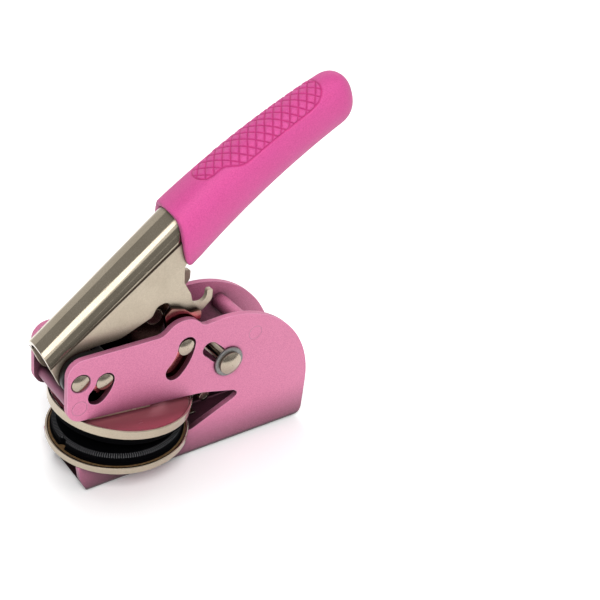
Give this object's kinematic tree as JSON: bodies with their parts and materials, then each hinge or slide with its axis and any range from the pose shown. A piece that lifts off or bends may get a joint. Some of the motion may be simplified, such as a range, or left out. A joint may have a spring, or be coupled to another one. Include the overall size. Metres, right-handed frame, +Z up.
{
  "type": "seal embosser",
  "caption": "Hand seal embosser: folded frame with two jaws, a round die set, a lever with a soft grip that drives a ram and press foot, and a sliding latch that locks the lever down.",
  "frame": {"origin": "where the axis of the die set meets the plane that the base rests on", "axes": "+X to the rear, away from the jaws' mouth; +Y across, the symmetry plane is Y = 0; +Z up from the base"},
  "size_m": [0.1123, 0.048, 0.1297],
  "materials": {
    "paint": "satin powder coat, pink",
    "nickel": "bright nickel plate on steel",
    "grip": "soft matt vinyl, pink",
    "black_steel": "black oxide spring steel",
    "black_plastic": "fine grain",
    "fibre": "vulcanised fibre",
    "die": "engraved die, satin",
    "washer_steel": "satin zinc plate"
  },
  "bodies": {
    "frame": {"frame_channel": "paint", "front_spacer": "paint", "rear_spacer": "paint", "jaw_insert": "black_plastic", "pivot_pin": "nickel", "pivot_sleeves": "nickel", "return_springs": "black_steel", "lower_pan": "nickel", "fibre_disc": "fibre", "lower_die": "die", "clip_pin": "nickel", "clip_springs": "black_steel"},
    "lever_body": {"lever": "nickel", "grip": "grip", "crank_pin": "nickel"},
    "ram": {"ram_yoke": "nickel", "guide_pins": "nickel"},
    "foot": {"press_foot": "nickel", "foot_pin": "nickel"},
    "upper_die_set": {"upper_pan": "nickel", "counter_die": "die"},
    "latch": {"latch_pin": "nickel", "latch_cap": "nickel", "latch_washers": "washer_steel"}
  },
  "joints": [
    {"name": "lever_hinge", "type": "hinge", "parent": "frame", "child": "lever_body", "pos_m": [-0.0207, 0, 0.0454], "axis": [0, 1, 0], "range_deg": [0, 31], "stiffness_Nm_per_rad": 0.3, "springref_deg": -28.65, "deforming": ["return_springs"]},
    {"name": "ram_hinge", "type": "hinge", "parent": "lever_body", "child": "ram", "pos_m": [-0.0123, 0, 0.0433], "axis": [0, 1, 0], "range_deg": [-27.91, 0]},
    {"name": "foot_hinge", "type": "hinge", "parent": "ram", "child": "foot", "pos_m": [-0.0066, 0, 0.03253], "axis": [0, 1, 0], "range_deg": [-9.41, 0]},
    {"name": "pan_hinge", "type": "hinge", "parent": "frame", "child": "upper_die_set", "pos_m": [0.0299, 0, 0.0195], "axis": [0, 1, 0], "range_deg": [-6.31, 0]},
    {"name": "latch_slide", "type": "slide", "parent": "frame", "child": "latch", "axis": [-0.7431, 0, 0.6691], "range_m": [0, 0.01]}
  ],
  "couplings": [
    {"joint": "ram_hinge", "follows": "lever_hinge", "ratio": -0.9},
    {"joint": "foot_hinge", "follows": "lever_hinge", "ratio": -0.30323},
    {"joint": "pan_hinge", "follows": "lever_hinge", "ratio": -0.20323}
  ]
}
